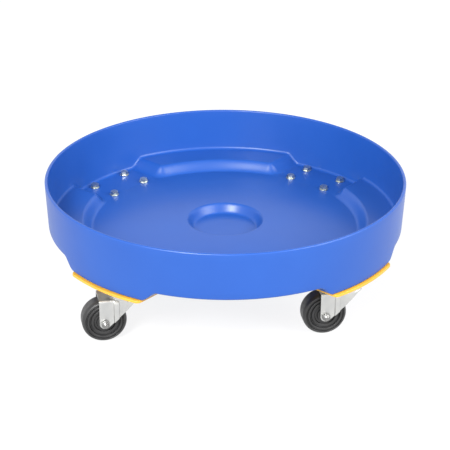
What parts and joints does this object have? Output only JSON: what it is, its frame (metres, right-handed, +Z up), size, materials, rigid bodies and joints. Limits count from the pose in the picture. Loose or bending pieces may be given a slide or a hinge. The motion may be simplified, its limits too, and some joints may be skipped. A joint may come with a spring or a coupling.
{
  "type": "drum dolly",
  "caption": "Round moulded tray with raised drum seats and a central recess, on swivel casters bolted through reinforcing plates.",
  "frame": {"origin": "on the ground, under the centre of the tray", "axes": "+Z up out of the tray, front towards -Y, casters on the diagonals"},
  "size_m": [0.635, 0.635, 0.2135],
  "materials": {
    "tray": "semi-gloss moulded polyethylene",
    "yellow_paint": "satin powder coat",
    "zinc": "bright zinc plate",
    "steel": "zinc-plated fasteners",
    "rubber": "hard black rubber"
  },
  "bodies": {
    "root": {"tray": "tray", "front_left_bolt_1": "steel", "front_left_bolt_2": "steel", "front_left_bolt_3": "steel", "front_left_bolt_4": "steel", "front_left_support_plate": "yellow_paint", "front_left_top_plate": "zinc", "front_left_kingpin": "steel", "front_left_race_cap": "zinc", "front_right_bolt_1": "steel", "front_right_bolt_2": "steel", "front_right_bolt_3": "steel", "front_right_bolt_4": "steel", "front_right_support_plate": "yellow_paint", "front_right_top_plate": "zinc", "front_right_kingpin": "steel", "front_right_race_cap": "zinc", "back_right_bolt_1": "steel", "back_right_bolt_2": "steel", "back_right_bolt_3": "steel", "back_right_bolt_4": "steel", "back_right_support_plate": "yellow_paint", "back_right_top_plate": "zinc", "back_right_kingpin": "steel", "back_right_race_cap": "zinc", "back_left_bolt_1": "steel", "back_left_bolt_2": "steel", "back_left_bolt_3": "steel", "back_left_bolt_4": "steel", "back_left_support_plate": "yellow_paint", "back_left_top_plate": "zinc", "back_left_kingpin": "steel", "back_left_race_cap": "zinc"},
    "front_left_swivel": {"front_left_fork": "zinc", "front_left_ball_row": "steel", "front_left_axle_bolt": "steel", "front_left_axle_nut": "steel"},
    "front_left_roller": {"front_left_wheel": "rubber", "front_left_wheel_sleeve": "steel"},
    "front_right_swivel": {"front_right_fork": "zinc", "front_right_ball_row": "steel", "front_right_axle_bolt": "steel", "front_right_axle_nut": "steel"},
    "front_right_roller": {"front_right_wheel": "rubber", "front_right_wheel_sleeve": "steel"},
    "back_right_swivel": {"back_right_fork": "zinc", "back_right_ball_row": "steel", "back_right_axle_bolt": "steel", "back_right_axle_nut": "steel"},
    "back_right_roller": {"back_right_wheel": "rubber", "back_right_wheel_sleeve": "steel"},
    "back_left_swivel": {"back_left_fork": "zinc", "back_left_ball_row": "steel", "back_left_axle_bolt": "steel", "back_left_axle_nut": "steel"},
    "back_left_roller": {"back_left_wheel": "rubber", "back_left_wheel_sleeve": "steel"}
  },
  "joints": [
    {"name": "front_left_turn", "type": "hinge", "parent": "root", "child": "front_left_swivel", "pos_m": [-0.18668, -0.18668, 0.093], "axis": [0, 0, 1], "continuous": true},
    {"name": "front_left_roll", "type": "hinge", "parent": "front_left_swivel", "child": "front_left_roller", "pos_m": [-0.21985, -0.19134, 0.0381], "axis": [0.1392, -0.9903, 0], "continuous": true},
    {"name": "front_right_turn", "type": "hinge", "parent": "root", "child": "front_right_swivel", "pos_m": [0.18668, -0.18668, 0.093], "axis": [0, 0, 1], "continuous": true},
    {"name": "front_right_roll", "type": "hinge", "parent": "front_right_swivel", "child": "front_right_roller", "pos_m": [0.15336, -0.19018, 0.0381], "axis": [0.1045, -0.9945, 0], "continuous": true},
    {"name": "back_right_turn", "type": "hinge", "parent": "root", "child": "back_right_swivel", "pos_m": [0.18668, 0.18668, 0.093], "axis": [0, 0, 1], "continuous": true},
    {"name": "back_right_roll", "type": "hinge", "parent": "back_right_swivel", "child": "back_right_roller", "pos_m": [0.15368, 0.18086, 0.0381], "axis": [0.1736, -0.9848, 0], "continuous": true},
    {"name": "back_left_turn", "type": "hinge", "parent": "root", "child": "back_left_swivel", "pos_m": [-0.18668, 0.18668, 0.093], "axis": [0, 0, 1], "continuous": true},
    {"name": "back_left_roll", "type": "hinge", "parent": "back_left_swivel", "child": "back_left_roller", "pos_m": [-0.21967, 0.18086, 0.0381], "axis": [0.1736, -0.9848, 0], "continuous": true}
  ]
}
